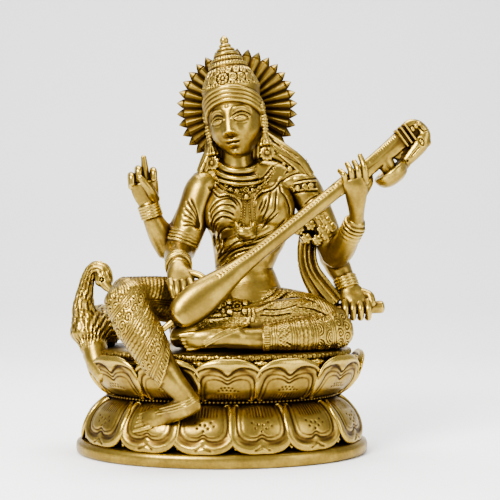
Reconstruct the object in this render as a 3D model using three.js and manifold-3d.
// A four-armed goddess with a long-necked lute, a rayed halo and a swan, cast in brass in one piece
// with the oval double lotus that she sits on. Millimetres, +Z up, front towards -Y.
// The origin is the middle of the flat underside.
import * as THREE from "three";
import { mergeVertices } from "three/addons/utils/BufferGeometryUtils.js";
import Module from "manifold-3d";

const wasm = await Module();
wasm.setup();

// Driving sizes of the base, in millimetres.
const plinthWidth = 142;
const plinthDepth = 101;
const plinthHeight = 7;
const lowerTierHeight = 20;
const waistHeight = 2.5;
const upperTierHeight = 17.5;
const cushionHeight = 4;
const waistWidth = 112;
const waistDepth = 76;
const rimWidth = 137; // across the upper petals
const rimDepth = 98;
const cushionWidth = 124;
const cushionDepth = 86;
const lowerPetals = 13;
const upperPetals = 12;
const petalThickness = 4.4;
const petalRoll = 1.25; // radius of a petal's rolled edge
const tierCore = 3; // from a petal's face in to the core behind it
const lowerPetalShift = -8; // of the middle petal, to the right of centre
const upperPetalShift = 3;
const upperTierShift = 1.5; // of the whole tier, to the right

// Driving sizes of the figure. Its pose and carving are shares of its height.
const figureHeight = 152; // from the cushion to the finial
const drawnHeight = 152; // the height that the points of the pose are laid out for
const haloRays = 34;
const wristBangles = 4;

const trianglesWanted = 9800;

const k = figureHeight / drawnHeight;
const waistLevel = plinthHeight + lowerTierHeight;
const rimLevel = waistLevel + waistHeight + upperTierHeight;
const seatLevel = rimLevel + cushionHeight;

const v3 = (x, y, z) => new THREE.Vector3(x, y, z);
const X = v3(1, 0, 0);
const Y = v3(0, 1, 0);
const Z = v3(0, 0, 1);
const { lerp, clamp, smoothstep, degToRad } = THREE.MathUtils;

function geometryOf(corners, index) {
  const geometry = new THREE.BufferGeometry().setFromPoints(corners);
  geometry.setIndex(index);
  return geometry;
}

// A closed geometry as a solid for joining.
function solid(geometry) {
  const g = geometry.index ? geometry.toNonIndexed() : geometry.clone();
  g.deleteAttribute("normal");
  g.deleteAttribute("uv");
  const merged = mergeVertices(g, 1e-4);
  return new wasm.Manifold(
    new wasm.Mesh({
      numProp: 3,
      vertProperties: new Float32Array(merged.attributes.position.array),
      triVerts: new Uint32Array(merged.index.array),
    }),
  );
}

// Rings of corners joined into a closed skin, with a point at each end.
function skin(rings, start, end) {
  const sides = rings[0].length;
  const corners = [...rings.flat(), start, end];
  const first = corners.length - 2;
  const last = corners.length - 1;
  const index = [];
  for (let j = 0; j < sides; j++) {
    const next = (j + 1) % sides;
    for (let i = 0; i < rings.length - 1; i++) {
      const a = i * sides + j;
      const b = i * sides + next;
      index.push(a, b, b + sides, a, b + sides, a + sides);
    }
    const top = (rings.length - 1) * sides;
    index.push(first, next, j, last, top + j, top + next);
  }
  return solid(geometryOf(corners, index));
}

// Points of the pose, measured from the middle of the cushion: [x, y, z, half width, half thickness].
const pose = (rows) =>
  rows.map(([x, y, z, ...sizes]) => [x * k, y * k, z * k + seatLevel, ...sizes.map((r) => r * k)]);

// Sections for a sweep, as points of a unit circle: a round one, and cloth with folds on its front.
const round = (sides) =>
  Array.from(
    { length: sides },
    (_, j) => [Math.cos((2 * Math.PI * j) / sides), Math.sin((2 * Math.PI * j) / sides)],
  );
function folded(folds, depth = 0.45) {
  const front = Array.from({ length: folds * 2 + 1 }, (_, j) => {
    const u = 1 - j / folds;
    return [u, (j % 2 ? 1 : 1 - depth) * (1 - 0.35 * u * u) - 0.1];
  });
  return [...front, [-0.8, -0.8], [0, -1], [0.8, -0.8]];
}

// A limb, fold or strap: a section carried along a smooth line, closed at both ends.
// Its width lies along `across`, as far as the line allows.
function sweep(rows, { section = round(10), spans = 3, across = X, tip = 0.6, smooth = true } = {}) {
  const line = new THREE.CatmullRomCurve3(rows.map(([x, y, z]) => v3(x, y, z)));
  const size = new THREE.CatmullRomCurve3(rows.map((row) => v3(row[3], row[4] ?? row[3], 0)));
  const count = Math.round((rows.length - 1) * spans);
  const rings = [];
  const ends = [];
  for (let i = 0; i <= count; i++) {
    const centre = line.getPoint(i / count);
    const along = line.getTangent(i / count);
    const half = size.getPoint(i / count);
    const side = across.clone().addScaledVector(along, -across.dot(along)).normalize();
    const front = along.clone().cross(side);
    const ring = (shrink, out) =>
      section.map(([u, w]) =>
        centre
          .clone()
          .addScaledVector(side, half.x * u * shrink)
          .addScaledVector(front, half.y * w * shrink)
          .addScaledVector(along, out),
      );
    const bulge = tip * Math.min(half.x, half.y);
    if (i === 0 && smooth && tip > 0.3) rings.push(ring(0.75, -0.6 * bulge));
    rings.push(ring(1, 0));
    if (i === count && smooth && tip > 0.3) rings.push(ring(0.75, 0.6 * bulge));
    if (i === 0) ends.push(centre.clone().addScaledVector(along, -bulge));
    if (i === count) ends.push(centre.clone().addScaledVector(along, bulge));
  }
  return skin(rings, ...ends);
}

// An oval ball: its centre, its three half sizes and a turn in degrees about X, Y and Z.
function ball(centre, half, turn = [0, 0, 0], across = 14, down = 9) {
  const rotation = new THREE.Quaternion().setFromEuler(new THREE.Euler(...turn.map(degToRad), "ZYX"));
  const matrix = new THREE.Matrix4().compose(v3(...centre), rotation, v3(...half));
  return solid(new THREE.SphereGeometry(1, across, down).applyMatrix4(matrix));
}

const posedBall = ([x, y, z], half, ...rest) =>
  ball([x * k, y * k, z * k + seatLevel], half.map((r) => r * k), ...rest);

// A turned piece: rows of [radius, height] along a direction, from a place.
function turned(rows, [x, y, z], [dx, dy, dz], sides = 14) {
  const points = rows.map(([r, h]) => new THREE.Vector2(r, h));
  const turn = new THREE.Quaternion().setFromUnitVectors(Y, v3(dx, dy, dz).normalize());
  return solid(new THREE.LatheGeometry(points, sides).applyQuaternion(turn).translate(x, y, z));
}

const posedTurned = (rows, [x, y, z], ...rest) =>
  turned(rows.map(([r, h]) => [r * k, h * k]), [x * k, y * k, z * k + seatLevel], ...rest);

// Angles of points spaced evenly along an oval, the first one at x = shift on the front.
function evenAngles(a, b, count, shift) {
  const start = -Math.PI / 2 + Math.asin(shift / a);
  const slices = 1440;
  const lengths = [0];
  for (let i = 1; i <= slices; i++) {
    const angle = start + (2 * Math.PI * (i - 0.5)) / slices;
    lengths.push(lengths[i - 1] + Math.hypot(a * Math.sin(angle), b * Math.cos(angle)));
  }
  return Array.from({ length: count }, (_, n) => {
    const wanted = (lengths.at(-1) * n) / count;
    return start + (2 * Math.PI * lengths.findIndex((length) => length >= wanted)) / slices;
  });
}

// A drum on the oval of the base: rows of [half width, half depth, level].
function ovalDrum(rows, sides = 48) {
  const rings = rows.map(([a, b, z]) =>
    Array.from({ length: sides }, (_, j) => {
      const angle = (2 * Math.PI * j) / sides;
      return v3(a * Math.cos(angle), b * Math.sin(angle), z);
    }),
  );
  return skin(rings, v3(0, 0, rows[0][2]), v3(0, 0, rows.at(-1)[2]));
}

// A row of petals from the waist out to the edge of a tier, each a bowed panel with a rolled edge
// that runs round it and dips to a point at the middle of its end. Rows of the panel are
// [share of the way out, share of the tier's height, share of its half width, share of its thickness].
const petalPanel = [
  [0, 0, 0.6, 0.6], [0.4, 0.15, 0.8, 0.9], [0.74, 0.38, 0.94, 1.1], [0.95, 0.66, 0.95, 1.1],
  [1, 0.88, 0.7, 0.9],
];
const petalEdge = [
  [0.12, 0.03, 0.66], [0.48, 0.2, 0.84], [0.84, 0.46, 0.96], [1.02, 0.74, 0.9], [1.06, 0.94, 0.52],
  [1.08, 0.9, 0.2], [1.1, 0.76, 0],
];
function petalRow(count, shift, waistZ, tipZ, edge, aside) {
  const angles = evenAngles(...edge, count * 2, shift);
  const made = [];
  for (let n = 0; n < count; n++) {
    const angle = angles[n * 2];
    const next = angles[n * 2 + 1];
    const half = Math.hypot(
      edge[0] * (Math.cos(next) - Math.cos(angle)), edge[1] * (Math.sin(next) - Math.sin(angle)),
    );
    const across = v3(-edge[0] * Math.sin(angle), edge[1] * Math.cos(angle), 0).normalize();
    const outward = v3(Math.cos(angle) / edge[0], Math.sin(angle) / edge[1], 0).normalize();
    const place = (out, up, sideways, lift) => {
      const a = lerp(waistWidth / 2, edge[0], out) - petalThickness / 2;
      const b = lerp(waistDepth / 2, edge[1], out) - petalThickness / 2;
      const at = v3(a * Math.cos(angle) + aside * up, b * Math.sin(angle), lerp(waistZ, tipZ, up));
      return at.addScaledVector(across, sideways).addScaledVector(outward, lift).toArray();
    };
    const t = petalThickness / 2;
    const panel = petalPanel.map(([out, up, wide, thick]) => [
      ...place(out, up, 0, -0.6), half * wide, t * thick,
    ]);
    made.push(sweep(panel, { across, section: round(10), spans: 2, tip: 0.3, smooth: false }));
    const bow = (wide) => -t * 0.9 * wide * wide; // the edge lies back beside the bowed panel
    const side = (sign) => petalEdge.map(([out, up, wide]) => [
      ...place(out, up, sign * half * wide, t * 0.75 + bow(wide)), petalRoll,
    ]);
    const rim = [...side(-1), ...side(1).reverse().slice(1)];
    made.push(sweep(rim, { across: outward, section: round(6), spans: 2, tip: 0.3, smooth: false }));
  }
  return made;
}

function pedestal() {
  const edge = plinthHeight / 4;
  const plinth = [plinthWidth / 2, plinthDepth / 2];
  const rim = [rimWidth / 2, rimDepth / 2];
  const cushion = [cushionWidth / 2, cushionDepth / 2];
  const waist = [waistWidth / 2 - 1.5, waistDepth / 2 - 1.5];
  const waistTop = waistLevel + waistHeight;
  const foot = plinth.map((half) => half - 1);
  return [
    ovalDrum([
      [plinth[0] - edge, plinth[1] - edge, 0],
      [plinth[0], plinth[1], edge],
      [plinth[0], plinth[1], plinthHeight - edge],
      [plinth[0] - edge, plinth[1] - edge, plinthHeight],
      [foot[0] - tierCore, foot[1] - tierCore, plinthHeight + 1],
      [
        lerp(foot[0], waist[0], 0.2) - tierCore * 0.9, lerp(foot[1], waist[1], 0.2) - tierCore * 0.9,
        lerp(plinthHeight, waistLevel, 0.5),
      ],
      [...waist, waistLevel],
      [waist[0] + 1.8, waist[1] + 1.8, waistLevel + waistHeight / 2],
      [...waist, waistTop],
      [
        lerp(rim[0], waist[0], 0.3) - tierCore * 0.8, lerp(rim[1], waist[1], 0.3) - tierCore * 0.8,
        lerp(waistTop, rimLevel, 0.4),
      ],
      [rim[0] - tierCore, rim[1] - tierCore, rimLevel - 1],
      [cushion[0], cushion[1], rimLevel - 0.6],
      [cushion[0] + 1, cushion[1] + 1, rimLevel + cushionHeight * 0.4],
      [cushion[0] - 0.8, cushion[1] - 0.8, seatLevel],
    ]),
    ...petalRow(lowerPetals, lowerPetalShift, waistLevel, plinthHeight, foot, 0),
    ...petalRow(upperPetals, upperPetalShift, waistTop, rimLevel + 1, rim, upperTierShift),
  ];
}

// How far forward the lower tier stands at a place across the front, at a level.
function flank(x, z) {
  const share = Math.sin((clamp((waistLevel - z) / lowerTierHeight, 0, 1) * Math.PI) / 2);
  const a = lerp(waistWidth, plinthWidth, share) / 2;
  const b = lerp(waistDepth, plinthDepth, share) / 2;
  return -b * Math.sqrt(Math.max(0, 1 - (x / a) ** 2));
}

// Both legs. The right one hangs over the front of the lotus, and its foot lies on a lower petal.
function legs() {
  const rightKnee = [-43.5, -40, 26];
  const rightThigh = pose([
    [4, -5, 17, 13], [-10, -14, 21, 12.5], [-27, -26, 24.2, 10.6], [...rightKnee, 9],
  ]);
  const shin = [
    ...pose([[-43, -41, 25.5, 9.2], [-38.8, -44, 16, 9.3], [-33.2, -47, 7, 8.8]]),
    [-27.2 * k, -rimDepth / 2 - 1.4, rimLevel + 1.5, 7.2 * k],
    [-21 * k, -rimDepth / 2 - 2.6, rimLevel - 7, 5.7 * k],
    [-15.6 * k, -rimDepth / 2 - 1.4, waistLevel + 6.5, 4.8 * k],
    [-14 * k, -rimDepth / 2 - 0.6, waistLevel + 3, 4.9 * k],
  ];
  const toeX = -36 * k;
  const footLevel = waistLevel - lowerTierHeight * 0.32;
  const foot = [
    [-10.6 * k, -rimDepth / 2 + 0.6, waistLevel + 2.6, 4 * k, 3.4 * k],
    [-16 * k, -rimDepth / 2 - 1.6, waistLevel + 1, 4.8 * k, 4 * k],
    [-24 * k, flank(-24 * k, waistLevel - 3) - 5, waistLevel - 3.4, 4.6 * k, 3 * k],
    [-31 * k, flank(toeX, footLevel) - 4, footLevel + 0.8, 4.8 * k, 2.5 * k],
    [toeX, flank(toeX, footLevel) - 3.6, footLevel - 0.6, 4 * k, 1.9 * k],
  ];
  const leftThigh = pose([
    [20, -1, 16, 14, 12.5], [31, -4, 16, 12.5, 12], [43, -8, 14.5, 11, 11], [54, -13, 10.5, 8.8, 9],
  ]);
  const leftShin = pose([
    [56, -14, 9, 8.2], [48, -20, 7.8, 8.2], [38, -27, 7, 7.6], [28, -32.4, 6.6, 6.6],
    [19, -36.4, 6.2, 5.4], [11, -39.4, 6.6, 4.8], [5, -41, 7.2, 4.6],
  ]);
  const leftFoot = pose([
    [7, -40.8, 7.4, 4.2, 4.6], [0, -42.6, 7.8, 3.8, 4.8], [-7, -43.4, 7.4, 3.4, 4.4],
    [-14, -43.4, 6.4, 2, 3.4],
  ]);
  return [
    sweep(rightThigh, { across: Z, section: round(14) }),
    sweep(shin, { section: round(14) }),
    sweep(foot, { across: v3(0, -0.35, -0.9).normalize() }),
    sweep(leftThigh, { across: Z, section: round(14) }),
    sweep(leftShin, { across: Z, section: round(14) }),
    sweep(leftFoot, { across: Y }),
    // The anklet, and the cloth that ends in a band round each shin.
    sweep(
      [
        [-21.8 * k, -rimDepth / 2 - 2, waistLevel + 2.2, 1.2],
        [-16 * k, -rimDepth / 2 - 6.4, waistLevel + 4.6, 1.2],
        [-9.6 * k, -rimDepth / 2 - 1, waistLevel + 7, 1.2],
      ],
      { section: round(6) },
    ),
    posedTurned(
      [[0, 0], [7.4, 0], [8, 1], [8.2, 3], [7.8, 4], [0, 4]], [-25, -50.2, -6.4], [-0.5, 0.1, 0.84],
    ),
    posedTurned(
      [[0, 0], [6.2, 0], [7, 0.8], [7.2, 2.8], [6.8, 3.6], [0, 3.6]], [18.4, -36.6, 6.6],
      [0.88, 0.45, 0.03],
    ),
  ];
}

// Hips, waist and chest: ovals stacked from the cushion to the neck, and the cloth over her lap.
function torso() {
  const rows = [
    [12, 0, 1, 33, 22], [12, 0, 8, 29, 20], [12.5, 1, 15, 23, 17], [13.2, 2.5, 22.5, 18, 14.3],
    [12.3, 4, 30, 15.3, 11.6], [10.8, 4.5, 37, 14.2, 10.4], [11.5, 4, 46, 16.2, 11.4],
    [12.7, 3.5, 54.5, 19.2, 12.2], [13.2, 3, 64, 21, 12.6],
    [13.7, 3, 74, 22, 11.8], [13.3, 3, 81, 20, 9.8], [11, 2.5, 86.5, 12.5, 8],
  ];
  const lap = pose([
    [-20, -20, 6, 8, 5], [-8, -24, 8, 8, 7], [4, -26, 11, 7, 8], [16, -25, 12.4, 7.5, 9],
    [30, -20, 14.4, 8, 9.6], [41, -13, 15, 8, 9],
  ]);
  return [
    sweep(pose(rows), { section: round(22), spans: 2, tip: 0.1 }),
    sweep(lap, { across: Y }),
    posedBall([1.4, -1.6, 64.4], [10.8, 11.6, 11.8]),
    posedBall([4, -1, 72], [9, 8.6, 9]),
    posedBall([-12, -8, 9], [17, 14, 9]),
    posedBall([24.8, -2, 67.4], [11, 11.8, 12.6]),
    sweep(pose([[8.4, 2, 83, 8.6], [7.6, 1.6, 89, 7.4], [7, 1, 97, 7]]), { section: round(14) }),
  ];
}

// Raised folds of the bodice: arcs over the right breast, a fan over the left one, and sashes below.
function bodice() {
  const made = [];
  const fold = (rows, across, section = round(6)) =>
    made.push(sweep(pose(rows), { section, spans: 2, across }));
  for (const r of [9.2, 7, 4.8, 2.6]) {
    const arc = [200, 165, 130, 95, 60, 25].map((degrees) => {
      const x = r * Math.cos(degToRad(degrees));
      const z = r * Math.sin(degToRad(degrees)) * 1.1 - 2;
      const y = -1.6 - 11.6 * Math.sqrt(Math.max(0.02, 1 - (x / 11) ** 2 - (z / 12) ** 2));
      return [1.4 + x, y, 64.4 + z, 1, 0.9];
    });
    fold(arc, Z);
  }
  for (const side of [-6, -3.2, -0.4, 2.4, 5.2]) {
    const strip = [9, 4.5, 0, -4.5, -8].map((z) => {
      const x = side * (1 - ((z - 9) / 40) ** 2) + (z - 9) * 0.24;
      const y = -2 - 11.8 * Math.sqrt(Math.max(0.02, 1 - (x / 11.2) ** 2 - (z / 12.8) ** 2));
      return [24.8 + x, y, 67.4 + z, 1, 0.9];
    });
    fold(strip, X);
  }
  fold(
    [
      [-4.6, 5, 47.6, 2, 1], [-3.4, -3, 48.6, 2.6, 1.6], [2, -7.6, 50.4, 2.8, 1.6],
      [12, -10.2, 54.4, 2.8, 1.6], [26, -8, 60, 2.6, 1.6],
    ],
    Z, folded(3).map(([u, w]) => [u, -w]),
  );
  fold(
    [
      [-3.4, 5, 38.6, 2, 1], [-2, -2, 40, 2.8, 1.6], [4, -6.8, 43, 3, 1.6], [13, -9.2, 48, 3, 1.6],
      [26, -7, 54, 2.8, 1.6],
    ],
    Z, folded(2).map(([u, w]) => [u, -w]),
  );
  return made;
}

// Rows for rings of bangles on a limb, between two places, for the end of its sweep.
function ringed(from, to, radius, count) {
  return Array.from({ length: count * 2 + 1 }, (_, i) => {
    const t = i / (count * 2);
    return [...from.map((value, n) => lerp(value, to[n], t)), radius + (i % 2 ? 1.3 : 0.3)];
  });
}

// Each arm runs from the shoulder to the elbow, and from there to the wrist with its bangles.
function arms() {
  const upperRightFront = [
    [-9.5, 2, 77, 8.4], [-12.8, 0, 68, 8.4], [-16.4, -2, 57, 8], [-20, -3, 47, 7.2],
  ];
  const lowerRightFront = [[-21, -2, 46.8, 6.6], [-20.9, -10, 43.8, 6.8], [-20.2, -20, 41.2, 5.8]];
  const upperRightBack = [[-12, 7, 74, 7], [-19, 8, 60, 6.4], [-26.4, 7, 47, 6.2]];
  const lowerRightBack = [[-26.4, 7, 47, 6.2], [-30, 5.6, 54, 6.4], [-34, 3.4, 62, 5]];
  const upperLeftFront = [
    [38.6, 2, 78.5, 8.6], [43.5, 2, 71, 8.2], [50, 2, 58, 7.2], [55.3, 0, 44.5, 6.4],
  ];
  const lowerLeftFront = [[55.3, 0, 44, 6.4], [58, -6, 47.4, 6.6], [61.2, -13.6, 54, 5.4]];
  const upperLeftBack = [[41, 6, 76, 7], [49, 8, 60, 6.5], [54.8, 7, 43, 6.2]];
  const lowerLeftBack = [[54.8, 7, 43.6, 6.2], [57.4, 5.4, 38.4, 6.2], [60, 3.6, 33.4, 5.2]];
  const bangles = wristBangles;
  const forearm = (rows, from, to, radius) => sweep(
    pose([...rows, ...ringed(from, to, radius, bangles)]), { spans: 1, across: X },
  );
  const smooth = (rows, across = X) => sweep(pose(rows), { across, spans: 2 });
  return [
    smooth(upperRightFront),
    smooth(lowerRightFront),
    forearm([[-20.6, -16, 42, 6]], [-20, -22, 40.6], [-19.4, -29, 38.8], 4.9),
    smooth(upperRightBack, Y),
    forearm(lowerRightBack, [-34.4, 3.2, 63], [-36.4, 2, 69.6], 4.5),
    smooth(upperLeftFront, Y),
    smooth(lowerLeftFront, Y),
    forearm([[60, -10.6, 51.6, 5.8]], [61, -12.8, 53.6], [64, -18.4, 60.4], 4.6),
    smooth(upperLeftBack, Y),
    forearm(lowerLeftBack, [60.2, 3.4, 32.8], [62, 2, 28], 4.9),
    // The shoulders, the pleated sleeve above the right elbow and the armlet on the left.
    smooth([[-11, 3, 79, 6.5], [1, 3, 82.6, 6.8], [8, 2, 86, 6]], Z),
    smooth([[18, 2, 85, 6.6], [30, 2, 82.4, 7.2], [39, 2, 78.5, 7.6]], Z),
    sweep(pose([...ringed([-16.6, -1.8, 57], [-19.2, -2.8, 50.2], 7.4, 2)]), { spans: 1 }),
    sweep(pose([...ringed([46.6, 2, 65.5], [49.4, 2, 59.6], 7.4, 2)]), { spans: 1, across: Y }),
  ];
}

// Fingers, each a short sweep through its joints.
const finger = (rows, across = X) => sweep(pose(rows), { section: round(7), spans: 2, across, tip: 0.8 });
const palm = (rows, across = X) => sweep(pose(rows), { section: round(12), spans: 2, across, tip: 0.5 });

function raisedHand() {
  const made = [palm([
    [-36.3, 2, 68.5, 4.2, 3.8], [-37.2, 1.6, 73.5, 6.2, 3.6], [-38.4, 1.2, 79.5, 7, 3.4],
  ])];
  const knuckles = [[-44.2, 79, 4.4], [-40.8, 81.4, 5.2], [-33.4, 80.4, 5.4]];
  for (const [x, z, rise] of knuckles) {
    made.push(finger([
      [x, 1, z - 1, 1.9], [x - 0.3, -0.8, z + rise, 1.9], [x + 0.3, -3.6, z + rise - 1, 1.7],
      [x + 0.5, -4, z + rise - 4.6, 1.6],
    ]));
  }
  made.push(finger([[-37.2, 1, 81, 2], [-37.8, 0.2, 87, 1.8], [-38.4, -0.4, 92.4, 1.4]]));
  made.push(finger([
    [-33, 0.5, 72, 2.6], [-34.4, -3, 75.4, 2.4], [-37.4, -4.6, 79.4, 2], [-39.6, -4.6, 82, 1.6],
  ]));
  return made;
}

function strummingHand() {
  const made = [palm([
    [-19.3, -30, 38.6, 4.5, 4], [-18.8, -33.6, 36.4, 5.8, 3.2], [-17.6, -37.2, 32.4, 6.2, 2.6],
  ])];
  const tips = [[-22.4, -17.4, 23.6], [-19.6, -14.6, 23.4], [-16.8, -11.4, 24.8], [-14, -8.4, 27]];
  for (const [x, tipX, tipZ] of tips)
    made.push(finger([
      [x, -37.4, 32.4, 1.9], [(x + tipX) / 2 - 0.4, -40.6, (32.4 + tipZ) / 2 + 0.6, 1.7],
      [tipX, -41.4, tipZ, 1.3],
    ]));
  made.push(finger([[-15, -33.4, 36.4, 2.2], [-9.6, -36, 35.4, 1.8], [-4, -38.4, 31.6, 1.4]], Z));
  return made;
}

function fretHand() {
  const made = [
    palm([
      [64, -18.4, 60, 3.6, 3.5], [63.8, -22.4, 64.6, 3.6, 3.4], [63.2, -27.4, 70.6, 4.7, 3.1],
      [62.6, -30.8, 76, 5.6, 2.7], [61.9, -31.4, 80, 5.7, 2.4],
    ]),
  ];
  const tips = [[57.8, 55.2, 83.8], [60.9, 58.6, 87], [64.2, 61.8, 88], [67.2, 64.6, 90.8]];
  for (const [x, tipX, tipZ] of tips)
    made.push(finger([
      [x, -31.2, 79.4, 1.8], [(x + tipX) / 2 + 0.5, -32.4, (tipZ + 79.4) / 2, 1.7],
      [tipX, -30.4, tipZ, 1.3],
    ]));
  made.push(finger([[66.6, -28.6, 74, 2.2], [69.4, -26, 78.4, 1.8], [70, -22.6, 82, 1.5]], Y));
  return made;
}

function scrollHand() {
  const made = [
    palm([
      [62, 2, 28.6, 4.9, 4.2], [63.4, 0.2, 25.6, 6.4, 3.8], [65, -2.4, 22, 7, 3.4],
      [65.2, -3.2, 19, 6.6, 3.2],
    ]),
    sweep(
      pose([[56, 0, 18, 2.9], [67, -0.6, 18.6, 3], [78, -1.4, 19.2, 3.1]]),
      { section: round(12), spans: 1, across: Y, tip: 0.1 },
    ),
  ];
  for (let i = 0; i < 4; i++) {
    const x = 59.8 + i * 3.7;
    made.push(finger([
      [x, -4, 21.4, 2], [x + 0.2, -6.2, 18, 1.9], [x + 0.2, -5, 14.4, 1.8], [x + 0.2, -1, 13.8, 1.5],
    ]));
  }
  made.push(finger([[69, 0, 26, 2.4], [72, -2.6, 24.6, 2.2], [73.2, -4.4, 21, 1.9]], Y));
  return made;
}

// The head is built upright at its own centre, then tilted, turned and set on the neck.
const headCentre = [6.6, -1.5, 109.6];
const headTurn = [-3, -9, -15];
const faceHalf = [12.9, 13.6, 18.4];

// The face, as how far it stands out from an oval at a place across and up, by the usual thirds:
// hairline, brow, base of the nose, chin.
function faceRelief(x, z) {
  const hump = (cx, cz, wide, high, out) =>
    out * Math.exp(-(((Math.abs(x) - cx) / wide) ** 2) - ((z - cz) / high) ** 2);
  const bridge = clamp((3 - z) / 10.5, 0, 1);
  const ridge = (0.5 + 3.3 * bridge ** 1.4) * Math.exp(-((x / (1.2 + 1.1 * bridge)) ** 2));
  const nose = z < 3 ? ridge * smoothstep(z, -9.4, -8) : 0;
  return (
    nose +
    hump(1.9, -8, 1.1, 1, 1) + // nostrils
    hump(5.4, 0.6, 3.6, 2.2, -1.5) + // eye sockets
    hump(5.5, -1.6, 3.2, 1.5, 1.4) + // closed lids
    hump(5.6, 3.6, 4, 1, 0.7) + // brows
    hump(0, -11.3, 3, 0.8, 1.3) + // lips
    hump(0, -12.4, 3.4, 0.5, -0.7) +
    hump(0, -13.3, 2.4, 0.9, 1.4) +
    hump(0, -16.4, 3, 2, 1.4) + // chin
    hump(6.8, -7, 3.4, 3.4, 0.5)
  );
}

function head() {
  const made = [];
  const skull = new THREE.SphereGeometry(1, 64, 48);
  const place = skull.attributes.position;
  for (let i = 0; i < place.count; i++) {
    const jaw = 1 - 0.2 * smoothstep(-place.getZ(i) * faceHalf[2], 5, 18);
    const x = place.getX(i) * faceHalf[0] * jaw;
    const z = place.getZ(i) * faceHalf[2];
    const front = smoothstep(-place.getY(i), 0.05, 0.45);
    place.setXYZ(i, x, place.getY(i) * faceHalf[1] * (0.92 + 0.08 * jaw) - faceRelief(x, z) * front, z);
  }
  made.push(solid(skull));
  const line = (rows, across, section) => made.push(sweep(rows, { section, across, spans: 2 }));
  // Three bands of hair over the brow, from ear to ear, and the hair behind.
  const band = [-88, -60, -30, 0, 30, 60, 88].map((degrees) => {
    const a = degToRad(degrees);
    return [13.3 * Math.sin(a), 0.6 - 13.3 * Math.cos(a), 11.4 - 5.5 * (1 - Math.cos(a)), 4.3, 2];
  });
  line(band, Z, folded(4, 0.4));
  made.push(ball([0, 5, -1], [13.8, 11, 18.6]));
  for (const side of [-1, 1]) {
    made.push(ball([side * 13, 1.5, -1.6], [1.6, 3, 5.4], [0, 0, 0], 10, 7));
    line(
      [
        [side * 13.2, 1.6, 4, 1.4], [side * 14.4, 1, -1, 1.8], [side * 14, 1, -7, 1.6],
        [side * 13.8, 0.6, -11, 2.4], [side * 14, 0.2, -14.6, 3],
      ],
      Y, round(8),
    );
    made.push(ball([side * 14, 0.2, -18.6], [1.6, 3.6, 3.8], [0, 0, 0], 10, 7));
  }
  return made;
}

function crown() {
  const profile = [
    [0, 5], [12.4, 5], [13.6, 9], [14.3, 13.6], [14.9, 15.6], [14.4, 17], [13.3, 19.4], [12, 21.6],
    [10.6, 24], [9.4, 25.6], [9.6, 27.4], [8.8, 28.6], [7.4, 29.2], [7.5, 30.8], [6.8, 31.6],
    [5.4, 32.2], [5.3, 33.6], [4.4, 34.8], [3.1, 35.6], [3.5, 36.8], [3.3, 37.6], [2.1, 38.2],
    [1.9, 39.6], [2.5, 40.8], [1.9, 42.2], [0, 43.6],
  ];
  const made = [turned(profile, [0, 0, 0], [0, 0, 1], 24)];
  for (const degrees of [-75, -50, -25, 25, 50, 75]) {
    const a = degToRad(degrees);
    made.push(ball(
      [14.3 * Math.sin(a), -14.3 * Math.cos(a), 17.6], [2.6, 1.4, 2.4], [0, 0, degrees], 10, 6,
    ));
    made.push(ball(
      [11.6 * Math.sin(a * 0.7), -11.6 * Math.cos(a * 0.7), 22.4], [2, 1.4, 2], [0, 0, degrees * 0.7],
      10, 6,
    ));
  }
  made.push(ball([0, -14.4, 18], [3, 1.8, 3], [0, 0, 0], 12, 7));
  return made;
}

function setHead(parts) {
  const rotation = new THREE.Quaternion().setFromEuler(new THREE.Euler(...headTurn.map(degToRad), "ZYX"));
  const [x, y, z] = headCentre;
  const matrix = new THREE.Matrix4().compose(v3(x * k, y * k, z * k + seatLevel), rotation, v3(k, k, k));
  return parts.map((part) => part.transform(matrix.elements));
}

// The halo: a pleated disc, each ray a ridge with a point.
function halo() {
  const [cx, cy, cz] = [7.2, 14.5, 118];
  const [tipRadius, notchRadius] = [30.4, 26.2];
  const [ridge, valley] = [1.9, 0.7];
  const front = [];
  const back = [];
  for (let i = 0; i < haloRays; i++)
    for (const half of [0, 0.5]) {
      const a = (2 * Math.PI * (i + half)) / haloRays;
      const outer = half ? notchRadius : tipRadius;
      const depth = half ? valley : ridge;
      front.push(v3(outer * Math.cos(a), -depth, outer * Math.sin(a)));
      back.push(v3(outer * Math.cos(a), depth, outer * Math.sin(a)));
    }
  const corners = [...front, ...back, v3(0, -2, 0), v3(0, 2, 0)];
  const steps = front.length;
  const index = [];
  for (let i = 0; i < steps; i++) {
    const next = (i + 1) % steps;
    index.push(2 * steps, i, next, 2 * steps + 1, steps + next, steps + i);
    index.push(i, steps + i, steps + next, i, steps + next, next);
  }
  const disc = geometryOf(
    corners.map((p) => p.multiplyScalar(k)), index,
  ).translate(cx * k, cy * k, cz * k + seatLevel);
  return [
    solid(disc), sweep(pose([[7, 6, 108, 9], [7.2, 13.6, 116, 9]]), { section: round(12), tip: 0.1 }),
  ];
}

// The lute lies along one straight line, from its tail peg to its head.
const luteTail = v3(-21.5, -44.5, 14.5);
const luteNut = v3(82.6, -22, 97.6);
const luteAlong = luteNut.clone().sub(luteTail).normalize();
const luteUp = Z.clone().addScaledVector(luteAlong, -luteAlong.z).normalize();
const luteFace = luteAlong.clone().cross(luteUp);

// A point on the lute: along it from the tail, up across it, and out of its face.
const onLute = (along, up = 0, out = 0) =>
  luteTail
    .clone()
    .addScaledVector(luteAlong, along)
    .addScaledVector(luteUp, up)
    .addScaledVector(luteFace, out)
    .toArray();

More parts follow.
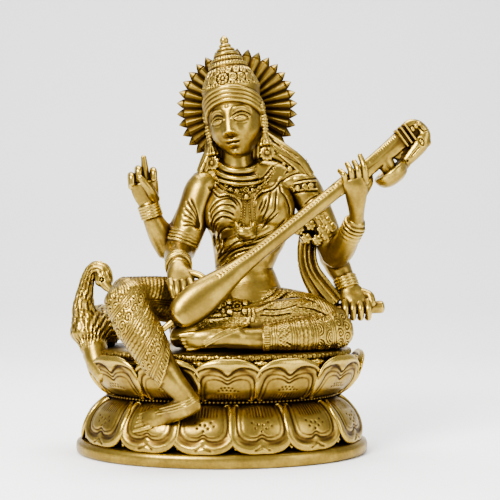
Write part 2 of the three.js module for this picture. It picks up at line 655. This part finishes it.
function lute() {
  const made = [];
  const add = (rows, section = round(10), across = luteUp, tip = 0.6, spans = 2) =>
    made.push(sweep(pose(rows), { section, across, tip, spans }));
  const bowl = [
    [0.5, 1.6], [2, 4.6], [5, 6.9], [10, 8.1], [17, 8.4], [25, 7.2], [34, 5.4], [44, 4.1], [60, 3.6],
    [92, 3.5], [104, 3.6],
  ];
  add(bowl.map(([s, r]) => [...onLute(s), r, Math.min(r, 5.6)]), round(12), luteUp, 0.3);
  add([[...onLute(-5), 1.4], [...onLute(3), 1.7]]);
  // The neck widens to a flat board above the hand.
  add(
    [
      [...onLute(98), 3.5, 3], [...onLute(112, -0.8), 3.8, 3], [...onLute(126, -0.8), 4.1, 3],
      [...onLute(141, 0.2), 4.2, 3],
    ],
    round(8), luteUp, 0.1, 1,
  );
  for (const s of [137.6, 140, 142.4]) add(
    [[...onLute(s, -3.8, 1.6), 0.9, 2.4], [...onLute(s, 4.6, 1.6), 0.9, 2.4]], round(8), luteAlong,
    0.5, 1,
  );
  // The peg box bends over into a beast's head whose snout points back to the gourd, with a web between.
  const beast = [
    [139, 2, 2.4], [146, 2.2, 2.4], [149.6, -0.4, 2.6], [149, -5, 3.8], [144.4, -7.2, 4.1],
    [138, -8.6, 3.3], [132.6, -9.6, 2.2],
  ];
  add(beast.map(([s, up, r]) => [...onLute(s, up), r]), round(10), luteFace);
  add(
    [
      [...onLute(127, -5, -0.6), 3.4, 1.6], [...onLute(137, -5, -0.6), 4, 1.8],
      [...onLute(148, -2, -0.6), 4, 1.8],
    ],
    round(8), luteUp, 0.1, 1,
  );
  for (const s of [144, 146, 148]) made.push(posedBall(
    onLute(s, 0.4, 2.4), [1.2, 1.2, 1.2], [0, 0, 0], 8, 5,
  ));
  // The small gourd under the neck, a bowl on a short stem.
  const rim = onLute(124, -7.8, 0);
  const down = luteUp.clone().negate().toArray();
  made.push(posedTurned(
    [[0, -1], [4, -1], [6, -0.4], [8.2, 0], [8.6, 1], [8.2, 3.4], [6.8, 5.6], [4.4, 7], [0, 7.6]],
    rim, down, 16,
  ));
  add([[...onLute(125, -3), 4.4, 3], [...onLute(124.4, -8.4), 4.8, 4]], round(8), luteAlong, 0.1, 1);
  return made;
}

// Scarf, veil and garland at her left side, each a strip of cloth with folds.
function drapes() {
  const made = [];
  const cloth = (rows, folds, across = X) => made.push(sweep(
    pose(rows), { section: folded(folds, 0.5), across, spans: 2 },
  ));
  cloth(
    [
      [42.4, 4, 56, 5, 2.6], [41, 3.4, 46, 5, 2.6], [42.5, 2.6, 37, 5.4, 2.6],
      [48, 0.6, 28, 6.4, 2.6], [54, -2, 20.5, 6.8, 2.4],
    ],
    4,
  );
  cloth(
    [[21, 5, 103, 4, 2.6], [28, 2, 95.6, 6, 3], [36.6, 0.4, 88.4, 6.4, 3.2], [41.4, 0, 82.6, 5.6, 3]],
    4, v3(0.6, 0, 0.8),
  );
  cloth([[-4, 4, 100, 3, 3], [-6.4, 2, 92, 4.2, 3], [-9.6, 1, 85, 3.6, 2.6]], 3);
  for (const [x, z] of [
    [37.4, 57], [43, 59], [48.6, 57], [41, 52.6], [46.4, 52], [50.6, 61],
  ]) made.push(posedBall([x, 0.4, z], [3.2, 2.6, 3], [0, 0, 0], 9, 6));
  made.push(posedBall([8, 8.4, 98], [16.6, 7.4, 16.4]));
  return made;
}

// Necklaces, the long beaded loop with its crescent, and the belt with its rosette.
function ornaments() {
  const made = [];
  const add = (
    rows, across = X, section = round(7),
  ) => made.push(sweep(pose(rows), { section, spans: 2, across }));
  for (const [r, z, lift, size] of [[9.4, 88.6, 0, 1.3], [12, 87.6, 0.8, 1.4], [15.4, 86.4, 1.2, 1.8]]) {
    const chain = [-85, -50, -20, 0, 20, 50, 85].map((degrees) => {
      const a = degToRad(degrees);
      return [
        9.6 + r * Math.sin(a), 1.5 - (8.2 + lift * 1.6) * Math.cos(a),
        z - r * 0.62 * Math.cos(a) + Math.sin(a) * -1, size, size * 0.8,
      ];
    });
    add(chain, Z);
  }
  for (const x of [9.6, 16]) add([
    [x + (x - 12.8) * 0.9, -8.4, 79, 1.3], [x, -9.8, 70, 1.3], [x + 0.2, -12, 62, 1.3],
    [x + (12.8 - x) * 0.3, -13.6, 54.6, 1.4],
  ]);
  add([[8, -14.2, 55.4, 1.4, 1.6], [12.6, -14.8, 52.6, 2.4, 1.8], [17.2, -14.2, 55.4, 1.4, 1.6]], Z);
  const belt = [[-7, -10, 26], [2, -15.4, 21.6], [13, -17.4, 20.4], [23, -15.6, 22.4], [30.5, -8, 27]];
  add(belt.map((p) => [...p, 2.8, 1.8]), Z, folded(2, 0.5).map(([u, w]) => [u, -w]));
  made.push(posedTurned(
    [[0, 0], [3.6, 0], [3.8, 1.2], [3, 2], [2, 1.6], [1.4, 2.4], [0, 2.6]], [7.6, -17.4, 20.4],
    [-0.1, -1, 0.1], 12,
  ));
  return made;
}

// The swan sits on the lotus by her right knee, its neck curled over to the front.
function swan() {
  const here = ([x, y, z, ...r]) => [
    x * k - rimWidth / 2, y * k, z * k + seatLevel, ...r.map((s) => s * k),
  ];
  const body = [
    [6, -13, 1, 5.4, 6], [6.4, -7, 6, 9.4, 9.6], [8.4, 2, 9, 11.4, 10.4], [9.6, 12, 10.4, 10, 9.4],
    [10.6, 21, 12.6, 7, 6], [12, 28, 17, 4.6, 3], [12.6, 33, 22, 2.6, 1.6],
  ];
  const neck = [
    [3, -7, 12, 7], [1.8, -7, 20, 5], [2.6, -7, 27, 3.2], [4, -7, 33.4, 2.9], [7.4, -7.4, 38, 3.2],
    [11.4, -8, 36, 4], [11.6, -8.8, 30, 4], [11.6, -10, 25, 2.2],
  ];
  const wing = (side) => [
    [side * 6 + 5, -5, 9, 5, 2.4], [side * 9 + 6, 5, 12, 7, 3], [side * 8 + 8, 16, 14, 5, 2.4],
    [side * 5 + 10, 26, 16.6, 2, 1.4],
  ];
  const leg = [[8, -13, 0, 6], [10, -17, -6, 5.6], [14, -21, -12, 4.6]];
  return [
    sweep(body.map(here), { section: round(14), spans: 2 }),
    sweep(neck.map(here), { spans: 2, across: Y }),
    sweep(wing(-1).map(here), { across: Z, spans: 2 }),
    sweep(leg.map(here), { spans: 2 }),
  ];
}

// Places that keep more of their triangles: [middle, radius, how much more they count].
const [faceSpot, ...handSpots] = pose([
  [4, -14, 109, 15], [-38, 0, 82, 15], [-17, -38, 32, 14], [62, -30, 78, 16], [67, -3, 20, 14],
  [-59, -8, 34, 9], [2, -6, 134, 18], [13, -12, 66, 20],
]);
const spots = [[faceSpot, 30], ...handSpots.map((spot) => [spot, 3])];
const care = ({ x, y, z }) =>
  spots.reduce(
    (
      most, [[cx, cy, cz, r], weight],
    ) => (Math.hypot(x - cx, y - cy, z - cz) < r ? Math.max(most, weight) : most),
    y > 20 * k ? 0.5 : 1,
  );

// Fewer triangles with the same form: edges are closed up one by one, cheapest first, where the
// surface moves least. The cost is the distance from the planes that met at the edge's ends.
function thin(manifold, wanted) {
  const made = manifold.getMesh();
  const points = Array.from(
    { length: made.numVert },
    (_, i) => v3(...made.vertProperties.subarray(i * made.numProp, i * made.numProp + 3)),
  );
  const faces = Array.from(
    { length: made.numTri }, (_, i) => [...made.triVerts.subarray(i * 3, i * 3 + 3)],
  );
  const around = points.map(() => new Set());
  faces.forEach((face, i) => face.forEach((p) => around[p].add(i)));
  const normalOf = (a, b, c) => b.clone().sub(a).cross(c.clone().sub(a));
  const planes = points.map(() => new Float64Array(10));
  for (const face of faces) {
    const normal = normalOf(...face.map((p) => points[p]));
    const area = normal.length();
    if (area < 1e-12) continue;
    const [x, y, z] = normal.divideScalar(area).toArray();
    const d = -normal.dot(points[face[0]]);
    const terms = [x * x, x * y, x * z, x * d, y * y, y * z, y * d, z * z, z * d, d * d];
    const weight = area * care(points[face[0]]);
    for (const p of face) terms.forEach((term, n) => (planes[p][n] += term * weight));
  }
  const cost = (q, { x, y, z }) =>
    x * (q[0] * x + 2 * (q[1] * y + q[2] * z + q[3])) +
    y * (q[4] * y + 2 * (q[5] * z + q[6])) +
    z * (q[7] * z + 2 * q[8]) +
    q[9];
  const best = (a, b) => {
    const sum = planes[a].map((value, n) => value + planes[b][n]);
    const places = [points[a], points[b], points[a].clone().lerp(points[b], 0.5)];
    const costs = places.map((place) => cost(sum, place) + 1e-6 * points[a].distanceTo(points[b]));
    const n = costs.indexOf(Math.min(...costs));
    return [costs[n], places[n], sum];
  };
  const neighbours = (p) => new Set([...around[p]].flatMap((f) => faces[f]).filter((q) => q !== p));
  const fits = (p, other, place) =>
    [...around[p]].every((f) => {
      if (faces[f].includes(other)) return true;
      const before = normalOf(...faces[f].map((q) => points[q]));
      const moved = faces[f].map((q) => (q === p ? place : points[q]));
      const after = normalOf(...moved);
      const longest = Math.max(...moved.map((q, n) => q.distanceTo(moved[(n + 1) % 3])));
      const turn = before.dot(after) / (before.length() * after.length() || 1);
      return after.length() > 1e-3 * longest * longest && turn > 0.3;
    });
  let left = faces.length;
  for (let limit = 1e-5; left > wanted && limit < 1e5; limit *= 1.35)
    for (let a = 0; a < points.length && left > wanted; a++) {
      if (!around[a].size) continue;
      for (const b of neighbours(a)) {
        if (!around[a].size || !around[b].size) continue;
        const [price, place, sum] = best(a, b);
        if (price > limit) continue;
        const shared = [...around[a]].filter((f) => around[b].has(f));
        const near = neighbours(b);
        if (shared.length !== 2 || [...neighbours(a)].filter((q) => near.has(q)).length !== 2) continue;
        if (!fits(a, b, place) || !fits(b, a, place)) continue;
        for (const f of shared) {
          faces[f].forEach((p) => around[p].delete(f));
          faces[f] = null;
          left--;
        }
        for (const f of around[b]) {
          faces[f] = faces[f].map((p) => (p === b ? a : p));
          around[a].add(f);
        }
        around[b] = new Set();
        points[a] = place.clone();
        planes[a] = sum;
      }
    }
  return solid(geometryOf(points, faces.filter(Boolean).flat()));
}

const parts = [
  ...pedestal(),
  ...legs(),
  ...torso(),
  ...bodice(),
  ...arms(),
  ...raisedHand(),
  ...strummingHand(),
  ...fretHand(),
  ...scrollHand(),
  ...setHead([...head(), ...crown()]),
  ...halo(),
  ...lute(),
  ...drapes(),
  ...ornaments(),
  ...swan(),
];
const casting = thin(wasm.Manifold.union(parts).simplify(0.02), trianglesWanted);

function meshOf(manifold, name) {
  const made = manifold.getMesh();
  const geometry = new THREE.BufferGeometry();
  const positions = new Float32Array(made.numVert * 3);
  for (let i = 0; i < made.numVert; i++)
    positions.set(made.vertProperties.subarray(i * made.numProp, i * made.numProp + 3), i * 3);
  geometry.setAttribute("position", new THREE.BufferAttribute(positions, 3));
  geometry.setIndex(new THREE.BufferAttribute(made.triVerts, 1));
  geometry.computeVertexNormals();
  const brass = new THREE.MeshStandardMaterial({ color: 0xb8923f, roughness: 0.38, metalness: 1 });
  const mesh = new THREE.Mesh(geometry, brass);
  mesh.name = name;
  return mesh;
}

const part = new THREE.Group();
part.add(meshOf(casting, "saraswati_figure"));
export default part;
